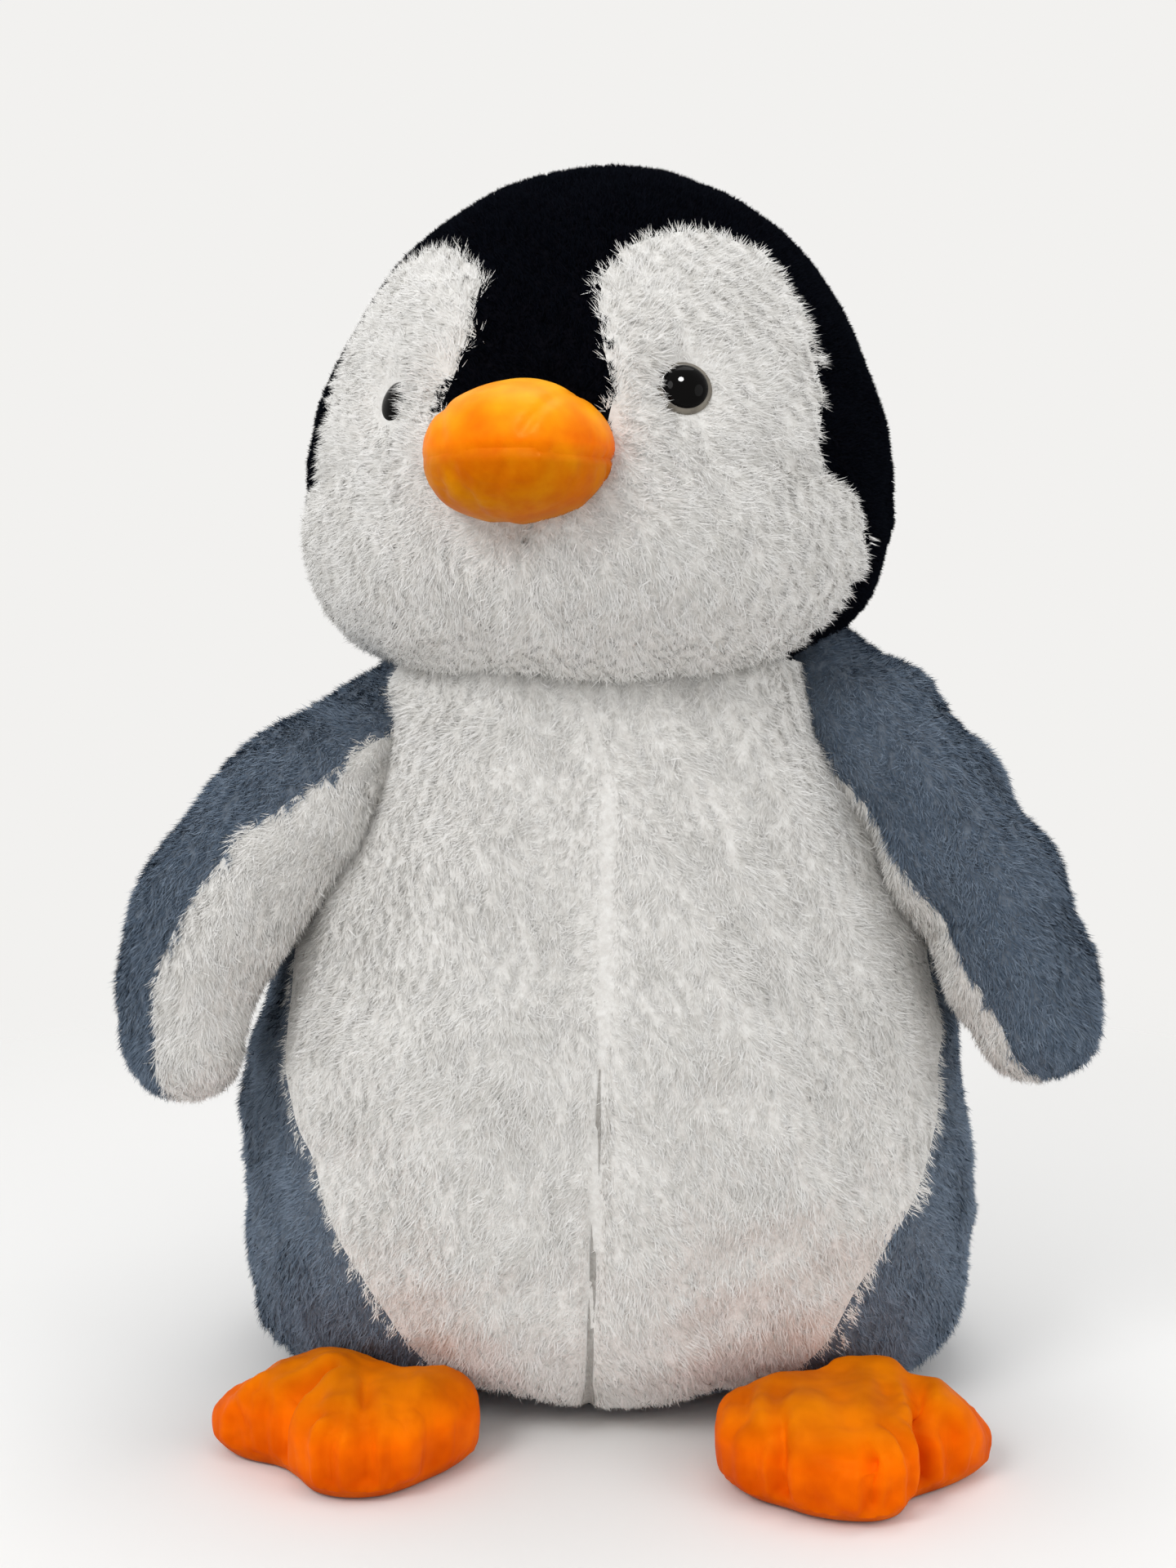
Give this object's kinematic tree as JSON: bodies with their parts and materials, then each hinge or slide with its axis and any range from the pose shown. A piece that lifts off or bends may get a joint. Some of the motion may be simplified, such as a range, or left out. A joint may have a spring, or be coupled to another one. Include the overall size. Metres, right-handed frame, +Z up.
{
  "type": "plush penguin",
  "caption": "Large sitting plush penguin with sewn panels over fillings, a turning head, lifting flippers, feet and tail.",
  "frame": {"origin": "middle of the flat base that the toy sits on", "axes": "+Z up along the toy's height, -Y the way the body faces, +X the toy's own left"},
  "size_m": [0.7724, 0.6678, 0.9957],
  "materials": {
    "white_plush": "long fluffy pile, 12 to 15 mm",
    "grey_plush": "fluffy pile, 8 to 12 mm",
    "black_plush": "short dense velvety pile, 4 mm",
    "orange_velboa": "short shorn pile with a soft sheen",
    "eye_plastic": "polished dome with a taupe rim",
    "washer_plastic": "plain moulded",
    "filling": "polyester fibre filling"
  },
  "bodies": {
    "torso": {"belly_left": "white_plush", "belly_right": "white_plush", "back_left": "grey_plush", "back_right": "grey_plush", "base_panel": "grey_plush", "torso_stuffing": "filling"},
    "neck": {"neck_stuffing": "filling"},
    "head": {"head_gusset": "black_plush", "head_side_left": "black_plush", "head_side_right": "black_plush", "eye_patch_left": "white_plush", "eye_patch_right": "white_plush", "cheek_left": "white_plush", "cheek_right": "white_plush", "head_stuffing": "filling", "beak_upper": "orange_velboa", "beak_lower": "orange_velboa", "beak_stuffing": "filling", "eye_left": "eye_plastic", "eye_right": "eye_plastic", "eye_washer_left": "washer_plastic", "eye_washer_right": "washer_plastic"},
    "tail": {"tail_upper": "grey_plush", "tail_lower": "grey_plush", "tail_stuffing": "filling"},
    "flipper_left": {"flipper_left_outer": "grey_plush", "flipper_left_inner": "white_plush", "flipper_left_stuffing": "filling"},
    "foot_left": {"foot_left_top": "orange_velboa", "foot_left_sole": "orange_velboa", "foot_left_stuffing": "filling"},
    "flipper_right": {"flipper_right_outer": "grey_plush", "flipper_right_inner": "white_plush", "flipper_right_stuffing": "filling"},
    "foot_right": {"foot_right_top": "orange_velboa", "foot_right_sole": "orange_velboa", "foot_right_stuffing": "filling"}
  },
  "joints": [
    {"name": "head_nod", "type": "hinge", "parent": "torso", "child": "neck", "pos_m": [0, -0.004, 0.745], "axis": [1, 0, 0], "range_deg": [-8, 8], "stiffness_Nm_per_rad": 30},
    {"name": "head_turn", "type": "hinge", "parent": "neck", "child": "head", "pos_m": [0, -0.004, 0.745], "axis": [0, 0, 1], "range_deg": [-12, 38], "stiffness_Nm_per_rad": 10},
    {"name": "flipper_left_raise", "type": "hinge", "parent": "torso", "child": "flipper_left", "pos_m": [0.23682, -0.10465, 0.518], "axis": [-0.4384, -0.8988, 0], "range_deg": [0, 50]},
    {"name": "flipper_right_raise", "type": "hinge", "parent": "torso", "child": "flipper_right", "pos_m": [-0.23682, -0.10465, 0.518], "axis": [-0.4384, 0.8988, 0], "range_deg": [0, 50]},
    {"name": "foot_left_lift", "type": "hinge", "parent": "torso", "child": "foot_left", "pos_m": [0.16934, -0.22902, 0.037], "axis": [-0.8988, -0.4384, 0], "range_deg": [0, 20]},
    {"name": "foot_right_lift", "type": "hinge", "parent": "torso", "child": "foot_right", "pos_m": [-0.16934, -0.22902, 0.037], "axis": [-0.8988, 0.4384, 0], "range_deg": [0, 20]},
    {"name": "tail_lift", "type": "hinge", "parent": "torso", "child": "tail", "pos_m": [0, 0.24735, 0.078], "axis": [1, 0, 0], "range_deg": [0, 35]}
  ]
}
